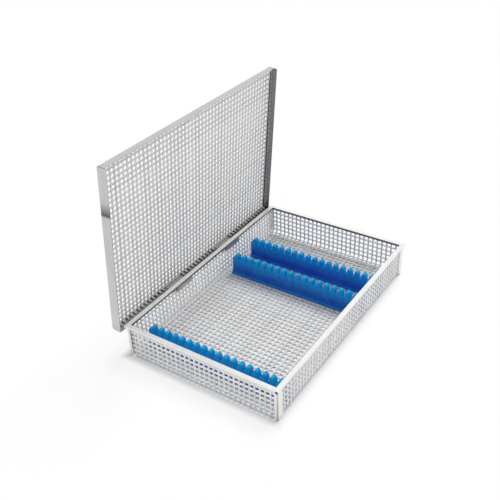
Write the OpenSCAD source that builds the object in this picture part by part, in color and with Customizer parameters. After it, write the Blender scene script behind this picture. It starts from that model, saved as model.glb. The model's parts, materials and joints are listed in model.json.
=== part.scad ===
// Wash and sterilising cassette for dental instruments: a wire mesh tray with a steel rim,
// a hinged mesh lid with a solid skirt, and three silicone comb racks.
// The origin is on the table under the middle of the tray. X runs along the tray, Y points
// from the opening side to the hinges, Z points up. The lid is drawn open.

/* [Tray] */
// Length of the tray over its rim
tray_length = 280; // [220:1:360]
// Width of the tray over its rim
tray_width = 182; // [150:1:240]
// Height from the table to the top of the rim
tray_height = 39; // [36:1:60]
// Height of the rim strip
rim_height = 2.2; // [1.6:0.1:4]
// How far the rim stands out past the mesh walls
rim_overhang = 2.2; // [1.6:0.1:4]

/* [Mesh] */
// Thickness of one wire; a woven mesh is two wires thick
wire = 1.4; // [1:0.1:1.8]
// Wanted spacing of the bars that stand for the mesh
net_spacing = 21; // [16:0.5:30]
// Width of one bar of the net
net_bar = 2; // [1.5:0.1:3]

/* [Corner strips] */
// Thickness of a corner strip
strip_sheet = 0.8; // [0.5:0.1:1.2]
// Length of its leg on the long side of the tray
strip_long_leg = 9; // [6:0.5:14]
// Length of its leg on the short side of the tray
strip_short_leg = 4; // [3:0.5:8]

/* [Lid] */
// Angle by which the lid is opened
lid_open = 85; // [70:1:100]
// Clearance between skirt and rim at the short sides
lid_play_x = 0.5; // [0.3:0.1:2]
// Clearance between skirt and rim at the long sides
lid_play_y = 3; // [2.8:0.1:5]
// Gap between the closed lid and the rim
lid_seat_gap = 0.3; // [0.2:0.1:1]
// Depth of the lid skirt at the back and at the short sides
skirt_depth = 10.7; // [9:0.1:14]
// Depth of the lid skirt at the front
front_skirt_depth = 7.1; // [5:0.1:9]
// Thickness of the skirt sheet
skirt_sheet = 1; // [0.6:0.1:1.5]
// Width of the catch tab
tab_width = 26; // [12:1:40]
// How far the catch tab hangs below the front skirt
tab_drop = 3.6; // [2.6:0.1:7]
// Place of the catch tab along the lid
tab_x = -9; // [-30:1:30]

/* [Hinges] */
// Distance between the middles of the two hinges
hinge_distance = 92; // [50:1:150]
// Length of one hinge
hinge_length = 26; // [20:1:34]
// Length of the middle knuckle
middle_knuckle = 10; // [6:0.5:12]
// Gap between neighbouring knuckles
knuckle_gap = 0.3; // [0.2:0.1:0.6]
// Wall of a knuckle
knuckle_wall = 1; // [0.8:0.1:1.2]
// Diameter of the hinge pin
pin_diameter = 2.4; // [2:0.1:2.6]
// Radial clearance between pin and knuckle
pin_play = 0.05; // [0.03:0.01:0.1]
// Diameter of the pin's two heads
pin_head_diameter = 3.6; // [3.2:0.1:4]
// Thickness of a pin head
pin_head = 0.8; // [0.5:0.1:1.2]
// Thickness of the hinge leaves and backing plates
leaf_sheet = 0.8; // [0.6:0.1:1]
// How far the hinge axis lies below the edge of the skirt
axis_drop = 2; // [1.9:0.1:2.6]
// Height of a backing plate inside the tray
backing_height = 4; // [3:0.5:8]
// Gap left at the stop when the lid is fully open
stop_gap = 0.3; // [0.2:0.1:0.5]

/* [Racks] */
// Distance of the left rack's middle from the left end of the tray
left_rack_inset = 25; // [20:1:60]
// Distance of the right rack's middle from the right end of the tray
right_rack_inset = 63; // [45:1:80]
// Distance between the middles of the middle and the right rack
rack_pair_distance = 39; // [32:1:77]
// Distance between neighbouring teeth
tooth_pitch = 9; // [7:0.5:12]
// Height of a rack above the mesh floor
rack_height = 26; // [18:0.5:27]
// Thickness of a rack
rack_thickness = 7; // [5:0.5:9]
// Least distance from the end of a rack to the middle of its first tooth
least_rack_end = 5.2; // [5.2:0.1:8]
// Gap between the front end of a rack and the front wall
rack_front_gap = 0.4; // [0.3:0.1:3]
// Gap between the back end of a rack and the back wall
rack_back_gap = 6.2; // [3:0.1:20]
// Depth of a notch between two teeth
notch_depth = 8; // [5:0.5:10]
// Radius at the bottom of a notch
notch_radius = 1.3; // [1:0.1:1.5]
// Radius at the tip of a tooth
tooth_tip_radius = 2.2; // [1.5:0.1:2.2]
// Radius of the shoulder at each end of a rack
shoulder_radius = 3; // [1:0.5:4]
// Width of the foot of a rack
foot_width = 11; // [9.5:0.5:14]
// Height of the foot of a rack
foot_height = 3; // [2:0.5:4]
// Thickness of the steel rail inside a rack
rail_thickness = 2; // [1.5:0.1:2.5]
// Height of the rail
rail_height = 6; // [4:0.5:8]
// How much shorter the rail is than the rack at each end
rail_inset = 8; // [4:1:20]
// Clearance of the soft rack from the steel around it
rack_clearance = 0.3; // [0.2:0.1:0.4]

/* [Hidden] */
$fn = 48;

steel = [0.78, 0.78, 0.77];
mesh_steel = [0.7, 0.7, 0.69];
silicone = [0.02, 0.35, 0.72];

left = -1;
right = 1;
mesh_thickness = 2 * wire;

// Outer faces of the mesh walls, and the inner faces
body_x = tray_length / 2 - rim_overhang;
body_y = tray_width / 2 - rim_overhang;
inner_y = body_y - mesh_thickness;
rim_width = rim_overhang + mesh_thickness;
wall_top = tray_height - rim_height;
wall_height = wall_top - mesh_thickness;

// The lid, as it lies closed on the tray
lid_inner_length = tray_length + 2 * lid_play_x;
lid_inner_width = tray_width + 2 * lid_play_y;
lid_length = lid_inner_length + 2 * skirt_sheet;
lid_width = lid_inner_width + 2 * skirt_sheet;
lid_panel_z = tray_height + lid_seat_gap;
lid_top = lid_panel_z + mesh_thickness;
skirt_edge_z = lid_top - skirt_depth;

// The hinge axis lies below the inner face of the back skirt
axis_y = lid_inner_width / 2;
axis_z = skirt_edge_z - axis_drop;
bore_radius = pin_diameter / 2 + pin_play;
knuckle_radius = bore_radius + knuckle_wall;
knuckle_clearance = 0.3;
pin_length = hinge_length + 2 * pin_play;
outer_knuckle = (hinge_length - middle_knuckle) / 2 - knuckle_gap;
notch_top_z = axis_z + knuckle_radius + knuckle_clearance;
stop_distance = axis_y - body_y - leaf_sheet - stop_gap;
stop_reach = (stop_distance - leaf_sheet / 2 * abs(cos(lid_open))) / sin(lid_open);

// The racks stand on the mesh floor and have as many teeth as fit between the walls
rack_left_x = left_rack_inset - tray_length / 2;
rack_right_x = tray_length / 2 - right_rack_inset;
rack_middle_x = rack_right_x - rack_pair_distance;
rack_length = 2 * inner_y - rack_front_gap - rack_back_gap;
rack_teeth = floor((rack_length - 2 * least_rack_end) / tooth_pitch) + 1;
rack_end = (rack_length - (rack_teeth - 1) * tooth_pitch) / 2;
rack_y = (rack_front_gap - rack_back_gap) / 2;
rack_foot_z = mesh_thickness + rack_clearance;
notch_center_z = rack_height - notch_depth + notch_radius;

// An even number of cells puts a bar on the middle of the net
function even_cells(span) = 2 * max(1, round(span / (2 * net_spacing)));
function cells(span) = max(1, round(span / net_spacing));

// A flat net in the XY plane, centred, with a bar along each edge
module net(size_u, size_v, cells_u, cells_v) {
    step_u = (size_u - net_bar) / cells_u;
    step_v = (size_v - net_bar) / cells_v;
    linear_extrude(mesh_thickness)
        difference() {
            square([size_u, size_v], center = true);
            for (i = [0:cells_u - 1], j = [0:cells_v - 1])
                translate([(i - cells_u / 2) * step_u + net_bar / 2,
                           (j - cells_v / 2) * step_v + net_bar / 2])
                    square([step_u - net_bar, step_v - net_bar]);
        }
}

// A strip along X at the front of a frame, with both ends cut at 45 degrees
module mitred_strip_x(length, width, depth, height) {
    linear_extrude(height)
        polygon([
            [-length / 2, -width / 2],
            [length / 2, -width / 2],
            [length / 2 - depth, -width / 2 + depth],
            [-length / 2 + depth, -width / 2 + depth],
        ]);
}

// A strip along Y at the left of a frame, with both ends cut at 45 degrees
module mitred_strip_y(length, width, depth, height) {
    linear_extrude(height)
        polygon([
            [-length / 2, -width / 2],
            [-length / 2 + depth, -width / 2 + depth],
            [-length / 2 + depth, width / 2 - depth],
            [-length / 2, width / 2],
        ]);
}

// A round bar along X, centred on the hinge axis
module axis_bar(radius, length) {
    translate([0, axis_y, axis_z])
        rotate([0, 90, 0])
            cylinder(r = radius, h = length, center = true);
}

// A block given by its low and high corners
module block(low, high) {
    translate(low)
        cube(high - low);
}

// Turns what is drawn for the closed lid to its open place
module opened() {
    translate([0, axis_y, axis_z])
        rotate([-lid_open, 0, 0])
            translate([0, -axis_y, -axis_z])
                children();
}

module tray_floor_mesh() {
    color(mesh_steel)
        net(2 * body_x, 2 * body_y, even_cells(2 * body_x), even_cells(2 * body_y));
}

module tray_wall_mesh_back() {
    span = 2 * (body_x - mesh_thickness);
    color(mesh_steel)
        translate([0, body_y, mesh_thickness + wall_height / 2])
            rotate([90, 0, 0])
                net(span, wall_height, even_cells(span), cells(wall_height));
}

module tray_wall_mesh_front() {
    mirror([0, 1, 0])
        tray_wall_mesh_back();
}

module tray_wall_mesh_left() {
    color(mesh_steel)
        translate([-body_x, 0, mesh_thickness + wall_height / 2])
            rotate([90, 0, 90])
                net(2 * body_y, wall_height, even_cells(2 * body_y), cells(wall_height));
}

module tray_wall_mesh_right() {
    mirror([1, 0, 0])
        tray_wall_mesh_left();
}

module tray_rim_front() {
    color(steel)
        translate([0, 0, wall_top])
            mitred_strip_x(tray_length, tray_width, rim_width, rim_height);
}

module tray_rim_back() {
    mirror([0, 1, 0])
        tray_rim_front();
}

module tray_rim_left() {
    color(steel)
        translate([0, 0, wall_top])
            mitred_strip_y(tray_length, tray_width, rim_width, rim_height);
}

module tray_rim_right() {
    mirror([1, 0, 0])
        tray_rim_left();
}

// The upright angle strip outside the back right corner of the mesh
module corner_strip_back_right() {
    color(steel)
        linear_extrude(wall_top) {
            translate([body_x + strip_sheet - strip_long_leg, body_y])
                square([strip_long_leg, strip_sheet]);
            translate([body_x, body_y + strip_sheet - strip_short_leg])
                square([strip_sheet, strip_short_leg]);
        }
}

module corner_strip_back_left() {
    mirror([1, 0, 0])
        corner_strip_back_right();
}

module corner_strip_front_right() {
    mirror([0, 1, 0])
        corner_strip_back_right();
}

module corner_strip_front_left() {
    mirror([0, 1, 0])
        corner_strip_back_left();
}

// The plate on the inner face of the back wall that the tray leaf is welded to
module hinge_backing_plate(side) {
    middle = side * hinge_distance / 2;
    color(steel)
        block([middle - hinge_length / 2, inner_y - leaf_sheet, wall_top - backing_height],
              [middle + hinge_length / 2, inner_y, wall_top]);
}

// The leaf on the outer face of the back wall, with the middle knuckle
module tray_hinge_leaf(side) {
    low_z = axis_z - knuckle_radius;
    color(steel)
        translate([side * hinge_distance / 2, 0, 0])
            difference() {
                union() {
                    axis_bar(knuckle_radius, middle_knuckle);
                    block([-middle_knuckle / 2, body_y, low_z],
                          [middle_knuckle / 2, axis_y, low_z + leaf_sheet]);
                    block([-hinge_length / 2, body_y, low_z],
                          [hinge_length / 2, body_y + leaf_sheet, wall_top]);
                }
                axis_bar(bore_radius, hinge_length);
            }
}

module hinge_pin(side) {
    color(steel)
        translate([side * hinge_distance / 2, 0, 0]) {
            axis_bar(pin_diameter / 2, pin_length);
            for (end = [left, right])
                translate([end * (pin_length + pin_head) / 2, 0, 0])
                    axis_bar(pin_head_diameter / 2, pin_head);
        }
}

// The leaf inside the back skirt, with two outer knuckles and two stop tongues
module lid_hinge_leaf(side) {
    knuckle_x = (middle_knuckle + outer_knuckle) / 2 + knuckle_gap;
    color(steel)
        opened()
            translate([side * hinge_distance / 2, 0, 0])
                difference() {
                    union() {
                        block([-hinge_length / 2, axis_y - leaf_sheet, notch_top_z],
                              [hinge_length / 2, axis_y, lid_panel_z]);
                        for (end = [left, right])
                            translate([end * knuckle_x, 0, 0])
                                lid_knuckle();
                    }
                    axis_bar(bore_radius, 2 * hinge_length);
                }
}

// One outer knuckle with its neck to the leaf and its stop tongue
module lid_knuckle() {
    half = outer_knuckle / 2;
    axis_bar(knuckle_radius, outer_knuckle);
    block([-half, axis_y - leaf_sheet, axis_z],
          [half, axis_y, notch_top_z]);
    block([-half, axis_y - leaf_sheet / 2, axis_z - stop_reach],
          [half, axis_y + leaf_sheet / 2, axis_z]);
}

module lid_mesh() {
    color(mesh_steel)
        opened()
            translate([0, 0, lid_panel_z])
                net(lid_inner_length, lid_inner_width,
                    even_cells(lid_inner_length), even_cells(lid_inner_width));
}

// A long side of the skirt, drawn at the front
module skirt_long(depth) {
    translate([0, 0, lid_top - depth])
        mitred_strip_x(lid_length, lid_width, skirt_sheet, depth);
}

module lid_skirt_front() {
    color(steel)
        opened()
            skirt_long(front_skirt_depth);
}

// The back skirt is notched over the hinges
module lid_skirt_back() {
    notch_half = pin_length / 2 + pin_head + knuckle_gap;
    color(steel)
        opened()
            difference() {
                mirror([0, 1, 0])
                    skirt_long(skirt_depth);
                for (side = [left, right])
                    translate([side * hinge_distance / 2, 0, 0])
                        block([-notch_half, axis_y - skirt_sheet, skirt_edge_z - skirt_sheet],
                              [notch_half, lid_width / 2 + skirt_sheet, notch_top_z]);
            }
}

// A short side of the skirt, drawn at the left
module skirt_short() {
    translate([0, 0, skirt_edge_z])
        mitred_strip_y(lid_length, lid_width, skirt_sheet, skirt_depth);
}

module lid_skirt_left() {
    color(steel)
        opened()
            skirt_short();
}

module lid_skirt_right() {
    color(steel)
        opened()
            mirror([1, 0, 0])
                skirt_short();
}

// The tab under the front skirt, with rounded lower corners
module lid_catch_tab() {
    corner = tab_drop / 2;
    color(steel)
        opened()
            translate([tab_x, -lid_inner_width / 2, lid_top - front_skirt_depth])
                rotate([90, 0, 0])
                    linear_extrude(skirt_sheet) {
                        translate([-tab_width / 2, corner - tab_drop])
                            square([tab_width, tab_drop - corner]);
                        translate([corner - tab_width / 2, -tab_drop])
                            square([tab_width - 2 * corner, tab_drop]);
                        for (side = [left, right])
                            translate([side * (tab_width / 2 - corner), corner - tab_drop])
                                circle(r = corner);
                    }
}

// The outline of a rack seen along X: a bar with rounded teeth on top
module comb_outline() {
    flank_half = tooth_pitch / 2 - notch_radius;
    tip_z = rack_height - tooth_tip_radius;
    for (end = [0, 1])
        mirror([end, 0])
            rack_shoulder(tip_z);
    difference() {
        translate([-rack_length / 2, 0])
            square([rack_length, notch_center_z]);
        for (i = [1:rack_teeth - 1])
            translate([(i - rack_teeth / 2) * tooth_pitch, notch_center_z])
                circle(r = notch_radius);
    }
    for (i = [0:rack_teeth - 1])
        translate([(i - (rack_teeth - 1) / 2) * tooth_pitch, 0]) {
            polygon([
                [-flank_half, notch_center_z],
                [flank_half, notch_center_z],
                [tooth_tip_radius, tip_z],
                [-tooth_tip_radius, tip_z],
            ]);
            translate([0, tip_z])
                circle(r = tooth_tip_radius);
        }
}

// The end of a rack, filled up to its first tooth and rounded at the top
module rack_shoulder(top_z) {
    translate([-rack_length / 2, 0]) {
        square([rack_end, top_z - shoulder_radius]);
        translate([shoulder_radius, 0])
            square([rack_end - shoulder_radius, top_z]);
        translate([shoulder_radius, top_z - shoulder_radius])
            circle(r = shoulder_radius);
    }
}

// A silicone rack with a wide foot and a slot for its rail
module instrument_rack(place_x) {
    slot_half = rail_thickness / 2 + rack_clearance;
    slot_length = rack_length - 2 * rail_inset + 2 * rack_clearance;
    color(silicone)
        translate([place_x, rack_y, rack_foot_z])
            difference() {
                union() {
                    rotate([90, 0, 90])
                        translate([0, 0, -rack_thickness / 2])
                            linear_extrude(rack_thickness)
                                comb_outline();
                    block([-foot_width / 2, -rack_length / 2, 0],
                          [foot_width / 2, rack_length / 2, foot_height]);
                }
                block([-slot_half, -slot_length / 2, -rack_clearance],
                      [slot_half, slot_length / 2, rail_height]);
            }
}

// A flat steel bar on edge, fixed on the mesh floor inside a rack
module rack_rail(place_x) {
    half_length = rack_length / 2 - rail_inset;
    color(steel)
        translate([place_x, rack_y, mesh_thickness])
            block([-rail_thickness / 2, -half_length, 0],
                  [rail_thickness / 2, half_length, rail_height]);
}

tray_floor_mesh();
tray_wall_mesh_front();
tray_wall_mesh_back();
tray_wall_mesh_left();
tray_wall_mesh_right();
tray_rim_front();
tray_rim_back();
tray_rim_left();
tray_rim_right();
corner_strip_front_left();
corner_strip_front_right();
corner_strip_back_left();
corner_strip_back_right();
hinge_backing_plate(left);  // hinge_backing_plate_left
hinge_backing_plate(right);  // hinge_backing_plate_right
tray_hinge_leaf(left);  // tray_hinge_leaf_left
tray_hinge_leaf(right);  // tray_hinge_leaf_right
hinge_pin(left);  // hinge_pin_left
hinge_pin(right);  // hinge_pin_right
lid_hinge_leaf(left);  // lid_hinge_leaf_left
lid_hinge_leaf(right);  // lid_hinge_leaf_right
lid_mesh();
lid_skirt_front();
lid_skirt_back();
lid_skirt_left();
lid_skirt_right();
lid_catch_tab();
instrument_rack(rack_left_x);  // instrument_rack_left
instrument_rack(rack_middle_x);  // instrument_rack_middle
instrument_rack(rack_right_x);  // instrument_rack_right
rack_rail(rack_left_x);  // rack_rail_left
rack_rail(rack_middle_x);  // rack_rail_middle
rack_rail(rack_right_x);  // rack_rail_right
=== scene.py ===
"""Open wash and sterilising cassette for dental instruments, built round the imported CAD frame.

Sizes are in metres, in the frame of the CAD model: X along the tray, Y from the opening side to the
hinges, Z up, the table at height 0. The lid's pieces are worked out with the lid closed and then
turned open about the hinge axis.
"""
import json
import math

import bmesh
import bpy
import numpy as np
from bpy.props import FloatProperty, FloatVectorProperty, IntProperty, PointerProperty
from mathutils.geometry import tessellate_polygon
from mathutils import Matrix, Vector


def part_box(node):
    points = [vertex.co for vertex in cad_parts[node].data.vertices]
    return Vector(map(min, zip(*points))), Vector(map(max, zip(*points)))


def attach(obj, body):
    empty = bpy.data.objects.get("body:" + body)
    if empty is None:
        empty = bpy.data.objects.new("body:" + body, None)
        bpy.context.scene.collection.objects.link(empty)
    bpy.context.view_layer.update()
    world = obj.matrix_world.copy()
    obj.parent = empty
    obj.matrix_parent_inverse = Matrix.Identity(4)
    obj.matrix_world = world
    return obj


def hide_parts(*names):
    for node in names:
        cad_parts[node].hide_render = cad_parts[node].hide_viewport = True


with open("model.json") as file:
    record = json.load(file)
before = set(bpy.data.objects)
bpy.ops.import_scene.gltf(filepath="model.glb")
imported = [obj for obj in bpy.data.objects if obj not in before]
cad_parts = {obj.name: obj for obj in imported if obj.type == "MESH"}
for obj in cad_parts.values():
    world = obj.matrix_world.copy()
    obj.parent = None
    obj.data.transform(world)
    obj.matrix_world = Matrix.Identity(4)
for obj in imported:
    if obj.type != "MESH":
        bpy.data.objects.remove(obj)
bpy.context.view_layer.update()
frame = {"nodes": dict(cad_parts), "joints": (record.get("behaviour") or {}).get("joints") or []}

bl_info = {
    "name": "Dental instrument cassette",
    "version": (1, 0, 0),
    "blender": (4, 5, 0),
    "location": "View3D > Sidebar > Cassette",
    "description": "Builds a wire mesh instrument cassette with a hinged lid and silicone racks",
    "category": "Object",
}

MM = 0.001
TRAY = "tray"
LID = "lid"
hinge = frame["joints"][0]
AXIS_Y, AXIS_Z = hinge["pos_m"][1], hinge["pos_m"][2]
LID_ANGLE = math.radians(hinge["range_deg"][1])


def node_points(node):
    """The corners of a CAD node as an array."""
    vertices = frame["nodes"][node].data.vertices
    points = np.empty(3 * len(vertices), np.float32)
    vertices.foreach_get("co", points)
    return points.reshape(-1, 3).astype(float)


def turn_lid(points, angle):
    """Turns points about the hinge axis: y' = y cos a - z sin a and z' = y sin a + z cos a, from the axis."""
    y = points[..., 1] - AXIS_Y
    z = points[..., 2] - AXIS_Z
    turned = np.array(points, float)
    turned[..., 1] = AXIS_Y + y * math.cos(angle) - z * math.sin(angle)
    turned[..., 2] = AXIS_Z + y * math.sin(angle) + z * math.cos(angle)
    return turned


def opened(points):
    """Moves points of the closed lid to its open place."""
    return turn_lid(points, -LID_ANGLE)


def closed_box(node):
    """Lowest and highest corner of a lid node with the lid closed."""
    points = turn_lid(node_points(node), LID_ANGLE)
    return points.min(0), points.max(0)


def hinge_span():
    """Distance of a hinge leaf's middle from the tray's middle, and half the leaf's length."""
    low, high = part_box("lid_hinge_leaf_right")
    return (low.x + high.x) / 2, (high.x - low.x) / 2


BODY_X, BODY_Y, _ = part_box("tray_floor_mesh")[1]
rim_low, rim_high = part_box("tray_rim_front")
WALL_TOP = rim_low.z
RIM_TOP = rim_high.z
RIM_X = rim_high.x
RIM_Y = -rim_low.y
RIM_WIDTH = rim_high.y - rim_low.y
side_skirt_low, side_skirt_high = closed_box("lid_skirt_left")
LID_X = -side_skirt_low[0]
LID_Y = side_skirt_high[1]
LID_TOP = side_skirt_high[2]
SKIRT_EDGE = side_skirt_low[2]
SKIRT_SHEET = side_skirt_high[0] - side_skirt_low[0]
LEAF_MIDDLE, LEAF_HALF = hinge_span()

# Name of each side, whether its strip runs along X, and the end of the other axis on which it lies
SIDES = (("front", True, -1), ("back", True, 1), ("left", False, -1), ("right", False, 1))


def length_of(name, description, millimetres, low=0.0, high=500.0):
    """A length that can be set, given in millimetres."""
    return FloatProperty(name=name, description=description, default=millimetres * MM, min=low * MM,
                         max=high * MM, unit="LENGTH")


def colour_of(name, description, default):
    """A colour that can be set."""
    return FloatVectorProperty(name=name, description=description, default=default, subtype="COLOR", size=3,
                               min=0, max=1)


def angle_of(name, description, degrees):
    """An angle that can be set, given in degrees."""
    return FloatProperty(name=name, description=description, default=math.radians(degrees), subtype="ANGLE")


class CassetteMeshSettings(bpy.types.PropertyGroup):
    """Sizes of the welded wire mesh"""

    pitch: length_of("Mesh pitch", "Distance between neighbouring wires", 5.8, 3, 12)
    wire: length_of("Wire diameter", "Diameter of one wire", 2.1, 0.8, 2.6)
    lift: length_of("Layer offset", "Distance of each layer's middle from the middle of the mesh", 0.2)
    fold: length_of("Fold radius", "Radius of the tray's folded lower edges, at mid thickness", 3.6, 1, 8)
    sides: IntProperty(
        name="Sides of a wire", description="Sides of the tube that a wire is made of", default=8, min=4,
        max=16)


class CassetteSheetSettings(bpy.types.PropertyGroup):
    """Sizes of the folded sheet-steel parts"""

    rim_round: length_of("Rim rounding", "Radius at the outer and inner edge of the rim", 0.8)
    rim_leg: length_of("Rim leg", "How far the rim's leg reaches down outside the mesh", 2)
    rim_lip: length_of("Rim lip", "How far the rim reaches down inside the mesh", 0.8)
    rim_sheet: length_of("Rim sheet", "Thickness of the rim's leg", 0.7)
    weld_radius: length_of("Weld radius", "Radius of the weld bead at the near corner", 1.6)
    weld_height: length_of("Weld height", "How far the weld bead stands out of the rim", 0.4)
    edge_round: length_of("Edge rounding", "Radius at the edges of the sheets", 0.25)
    strip_foot: length_of("Strip foot", "Rise of a corner strip's lower edges along the folded mesh", 3)
    lid_round: length_of("Lid rounding", "Radius at the lid's upper front edge", 0.4)
    lid_fold: length_of("Lid fold", "Outer radius of the fold at the hinge side of the lid", 2.9)
    lid_hem: length_of("Lid hem", "How far the lid's mesh reaches down inside the back strip", 4.4)
    seam: length_of("Seam", "Width of the dark seam at the ends of the front strip", 1.2)


class CassetteRackSettings(bpy.types.PropertyGroup):
    """Sizes of the silicone racks"""

    teeth: IntProperty(name="Teeth", description="Number of teeth of a rack", default=18, min=2)
    tooth_pitch: length_of("Tooth pitch", "Distance between neighbouring teeth", 9)
    notch_depth: length_of("Notch depth", "Depth of a notch between two teeth", 8)
    notch_radius: length_of("Notch radius", "Radius at the bottom of a notch", 1.3)
    tip_radius: length_of("Tip radius", "Radius at the tip of a tooth", 2.2)
    shoulder_drop: length_of("Shoulder drop", "How far the rack's end lies below the tips", 5)
    flute: length_of("Flute depth", "Half the depth of the grooves below the notches", 0.35)
    face: length_of("Thickness", "Thickness of the comb", 6.3)
    foot_height: length_of("Foot height", "Height of the foot", 3)
    foot_round: length_of("Foot rounding", "Radius at the edges of the foot", 0.7)
    top_round: length_of("Top rounding", "Radius at the top of both faces", 1.3)
    end_round: length_of("End rounding", "Radius at the rack's ends", 1.2)
    slot_width: length_of("Slot width", "Width of the slot for the rail", 2.6)
    slot_height: length_of("Slot height", "Height of the slot for the rail", 6)
    slot_inset: length_of("Slot inset", "Distance of the slot from the rack's ends", 8)


class CassetteColourSettings(bpy.types.PropertyGroup):
    """Colours of the finishes"""

    wire: colour_of("Wire", "Colour of the drawn wire", (0.92, 0.92, 0.91))
    # Painted shade: the shaded wire is the same drawn wire painted darker, for the lid and the right wall,
    # which face away from the key light
    shaded_wire: colour_of("Dark wire", "Shaded wire of the lid and the right wall", (0.82, 0.82, 0.81))
    rim: colour_of("Rim", "Colour of the satin rim", (0.94, 0.94, 0.93))
    skirt: colour_of("Skirt", "Colour of the polished lid skirt", (0.58, 0.58, 0.57))
    # Painted reflection: the dark mark on the near plate stands for a dark reflection in the polished steel
    painted_reflection_height: length_of("Mark height", "Height of the dark mark on the lid's near plate", 169)
    # A dark blue colour for the weld bead at the near corner, where the rim shows a dark spot
    weld: colour_of("Weld", "Dark blue colour of the weld bead at the near corner", (0.03, 0.05, 0.22))
    fittings: colour_of("Fittings", "Colour of hinges, plates and rails", (0.52, 0.52, 0.5))
    # Painted light: the tip and body colours make the racks lighter towards the top, where the light falls,
    # and deeper lower down
    tip: colour_of("Rack tips", "Colour of the silicone at the tips", (0.0, 0.38, 0.78))
    body: colour_of("Rack body", "Colour of the silicone lower down", (0.012, 0.075, 0.54))


class CassetteStageSettings(bpy.types.PropertyGroup):
    """Floor, light and camera"""

    floor: colour_of("Floor", "Colour of the floor", (0.98, 0.98, 0.98))
    glow: FloatProperty(
        name="Floor glow", description="How far the floor's shadow is lifted outside the tray",
        default=0.8, min=0, max=1)
    ambient: FloatProperty(
        name="Ambient light", description="Strength of the world as light", default=0.42, min=0, max=1)
    key: FloatProperty(
        name="Key light", description="Strength of the key light", default=2.1, min=0)
    key_azimuth: angle_of("Key azimuth", "Direction of the key light round the object", 87)
    key_elevation: angle_of("Key elevation", "Height of the key light above the horizon", 62)
    key_spread: angle_of("Key spread", "Angle that the key light covers", 30)
    camera_place: FloatVectorProperty(
        name="Camera place", description="Where the camera stands", size=3, subtype="TRANSLATION",
        default=(-0.542857, -0.347271, 0.507645))
    camera_turn: FloatVectorProperty(
        name="Camera turn", description="How the camera is turned", size=3, subtype="EULER",
        default=(math.radians(56.506), math.radians(2.106), math.radians(-56.623)))
    camera_lens: FloatProperty(
        name="Camera lens", description="Focal length in millimetres on a 36 mm wide sensor", default=53.15)


def unit(vectors):
    """Vectors divided by their length."""
    return vectors / np.linalg.norm(vectors, axis=-1, keepdims=True)


def join(parts):
    """Joins shapes into one. A shape is an array of points and a list of arrays of faces."""
    points = []
    faces = []
    count = 0
    for part_points, part_faces in parts:
        points.append(part_points)
        faces.extend(f + count for f in part_faces)
        count += len(part_points)
    return np.concatenate(points), faces


def skin(rings, capped=True):
    """A surface through rings of points, shaped (rings, points, 3). Each ring is joined to the next by
    quads, and the first and the last ring are closed by one face each."""
    count, size = rings.shape[:2]
    index = np.arange(count * size).reshape(count, size)
    low, high = index[:-1], index[1:]
    quads = np.stack([low, np.roll(low, -1, 1), np.roll(high, -1, 1), high], -1).reshape(-1, 4)
    faces = [quads]
    if capped:
        faces.append(np.stack([index[0][::-1], index[-1]]))
    return rings.reshape(-1, 3), faces


def prism(outline, stops):
    """An outline in the plane of Y and Z, carried along X through the places in stops."""
    rings = [np.column_stack([np.full(len(outline), x), outline]) for x in stops]
    return skin(np.array(rings))


def tubes(paths, normals, radius, sides):
    """Round tubes along many paths, shaped (paths, points, 3). With tangent t, panel normal n and
    b = t x n, a ring's points are path + radius * (cos(a) * (b x t) + sin(a) * b), a from 0 to a turn."""
    tangents = unit(np.gradient(paths, axis=1))
    across = unit(np.cross(tangents, normals))
    upward = np.cross(across, tangents)
    turn = np.arange(sides)[:, None] * 2 * np.pi / sides
    rings = paths[..., None, :] + radius * (
        np.cos(turn) * upward[..., None, :] + np.sin(turn) * across[..., None, :])
    count, length = paths.shape[:2]
    index = np.arange(count * length * sides).reshape(count, length, sides)
    low, high = index[:, :-1], index[:, 1:]
    quads = np.stack([low, np.roll(low, -1, 2), np.roll(high, -1, 2), high], -1).reshape(-1, 4)
    caps = np.concatenate([index[:, 0, ::-1], index[:, -1]])
    return rings.reshape(-1, 3), [quads, caps]


def rounded(corners, radius, steps=4):
    """A closed outline with its corners c rounded: (1-t)^2 a + 2t(1-t) c + t^2 b, where a and b lie on the
    two sides at the radius from c. radius is one value or one for each corner."""
    corners = np.array(corners, float)
    radius = np.broadcast_to(np.array(radius, float), len(corners))[:, None]
    before = corners + radius * unit(np.roll(corners, 1, 0) - corners)
    after = corners + radius * unit(np.roll(corners, -1, 0) - corners)
    t = np.linspace(0, 1, steps + 1)[None, :, None]
    curve = (1 - t) ** 2 * before[:, None] + 2 * t * (1 - t) * corners[:, None] + t ** 2 * after[:, None]
    return curve.reshape(-1, 2)


def plate(outline, thickness, edge, holes=()):
    """A flat plate from an outline in the plane, with holes, and its outer edge rounded on both faces in
    three steps. Returns points (u, v, w), where w runs over the thickness."""
    outline = np.array(outline, float)
    inward = unit(np.roll(outline, -1, 0) - np.roll(outline, 1, 0))[:, ::-1] * [-1, 1]
    shrink = edge * np.array([1, 0.3, 0, 0, 0.3, 1])
    rise = edge * np.array([0, 0.3, 1])
    outer_levels = np.concatenate([rise, thickness - rise[::-1]])
    hole_levels = np.repeat([0.0, thickness], len(rise))
    loops = [(outline + shrink[:, None, None] * inward, outer_levels)]
    loops += [(np.repeat(hole[None], len(shrink), 0), hole_levels) for hole in holes]
    parts = []
    bottoms = []
    tops = []
    start = 0
    for flat, levels in loops:
        heights = np.broadcast_to(levels[:, None, None], (*flat.shape[:2], 1))
        parts.append(skin(np.concatenate([flat, heights], -1), capped=False))
        ring = np.arange(flat.shape[1])
        bottoms.append(start + ring)
        start += flat.shape[0] * flat.shape[1]
        tops.append(start - len(ring) + ring)
    points, faces = join(parts)
    for order in (bottoms, tops):
        flat = [(points[ring] * [1, 1, 0]).tolist() for ring in order]
        faces.append(np.concatenate(order)[np.array(tessellate_polygon(flat))])
    return points, faces


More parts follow.
